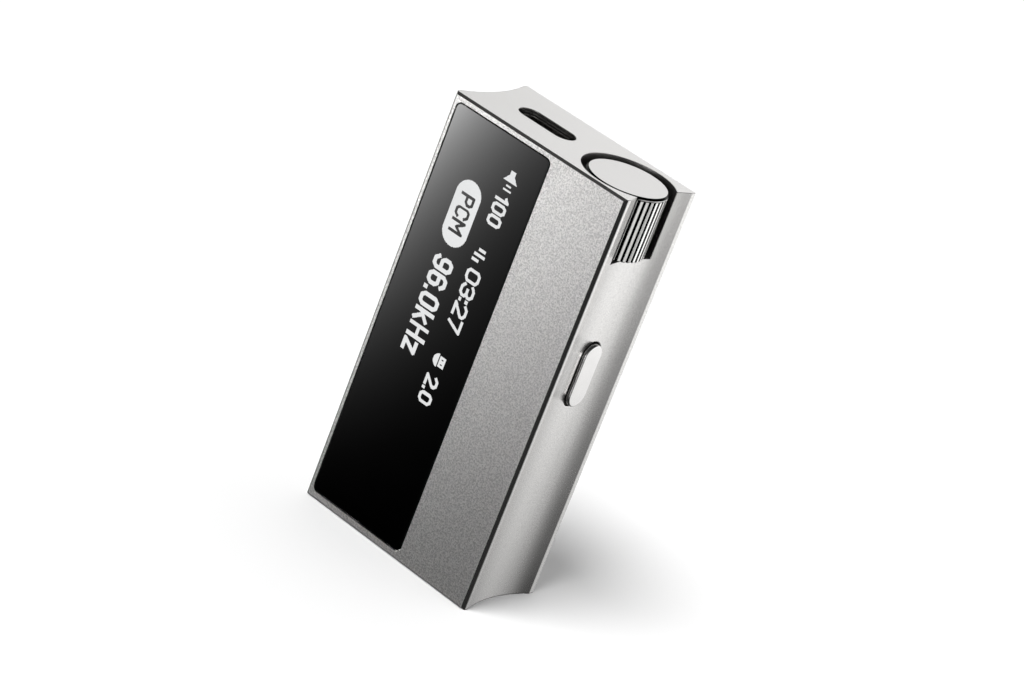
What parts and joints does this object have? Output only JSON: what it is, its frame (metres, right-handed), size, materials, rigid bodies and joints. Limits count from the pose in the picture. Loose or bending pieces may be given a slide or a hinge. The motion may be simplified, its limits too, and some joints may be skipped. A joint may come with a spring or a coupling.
{
  "type": "pocket digital-to-analogue converter",
  "caption": "Pocket headphone DAC with a display face, a knurled volume wheel set in one corner, a side push button, a USB-C port and headphone sockets.",
  "frame": {"origin": "centre of the bottom (socket) end face", "axes": "+Z along the length towards the USB end, -Y out of the display face, +X towards the volume wheel and side button"},
  "size_m": [0.0324, 0.0164, 0.0654],
  "materials": {
    "housing_metal": "fine sandblasted anodised aluminium with polished bevels",
    "cover_metal": "sandblasted anodised aluminium",
    "wheel_metal": "satin turned aluminium",
    "button_metal": "satin anodised aluminium",
    "screw_steel": "dark zinc-plated steel",
    "shaft_steel": "turned steel",
    "spring_steel": "spring steel",
    "connector_steel": "nickel-plated stainless sheet",
    "shield_steel": "tinned sheet",
    "brass_metal": "machined brass",
    "gold_contacts": "gold-plated spring alloy",
    "ring_metal": "gold-plated turned ring",
    "cover_glass": "gloss black-backed glass",
    "display_black": "OLED panel, dark when unlit",
    "display_light": "lit display pixels",
    "black_tape": "black foam tape",
    "copper_tape": "copper-faced shielding tape",
    "flex_film": "polyimide film",
    "black_plastic": "moulded black plastic",
    "board_laminate": "solder-masked laminate",
    "chip_black": "moulded chip package",
    "capacitor_film": "dipped film capacitor",
    "capacitor_ceramic": "ceramic chip with tinned ends",
    "inductor_ferrite": "ferrite block",
    "oscillator_can": "plated metal can",
    "thermal_rubber": "soft thermal pad"
  },
  "bodies": {
    "case": {"housing": "housing_metal", "back_cover": "cover_metal", "cover_screws": "screw_steel", "cover_glass": "cover_glass", "glass_adhesive": "black_tape", "display_panel": "display_black", "display_shield_tape": "copper_tape", "display_flex": "flex_film", "display_connector": "black_plastic", "main_board": "board_laminate", "board_screws": "screw_steel", "usb_shell": "connector_steel", "usb_base": "black_plastic", "usb_tongue": "black_plastic", "usb_contacts": "gold_contacts", "usb_gasket": "black_plastic", "jack_35_body": "black_plastic", "jack_35_ring": "ring_metal", "jack_35_contacts": "gold_contacts", "jack_44_body": "black_plastic", "jack_44_ring": "ring_metal", "jack_44_contacts": "gold_contacts", "encoder_bush": "brass_metal", "encoder_nut": "shaft_steel", "encoder_body": "black_plastic", "encoder_detent_spring": "spring_steel", "encoder_terminals": "gold_contacts", "switch_body": "black_plastic", "controller_chip": "chip_black", "usb_bridge_chip": "chip_black", "dac_chips": "chip_black", "amplifier_chips": "chip_black", "power_regulators": "chip_black", "oscillators": "oscillator_can", "inductors": "inductor_ferrite", "film_capacitors": "capacitor_film", "ceramic_capacitors": "capacitor_ceramic", "shield_can": "shield_steel", "thermal_pad": "thermal_rubber"},
    "wheel": {"volume_wheel": "wheel_metal", "wheel_cap": "wheel_metal", "encoder_shaft": "shaft_steel", "encoder_rotor": "black_plastic"},
    "button": {"side_button": "button_metal", "switch_stem": "black_plastic"}
  },
  "joints": [
    {"name": "wheel_turn", "type": "hinge", "parent": "case", "child": "wheel", "pos_m": [0.01028, -0.00035, 0.0602], "axis": [0, 0, 1], "continuous": true},
    {"name": "button_press", "type": "slide", "parent": "case", "child": "button", "axis": [-1, 0, 0], "range_m": [0, 0.0003], "stiffness_N_per_m": 4000}
  ]
}
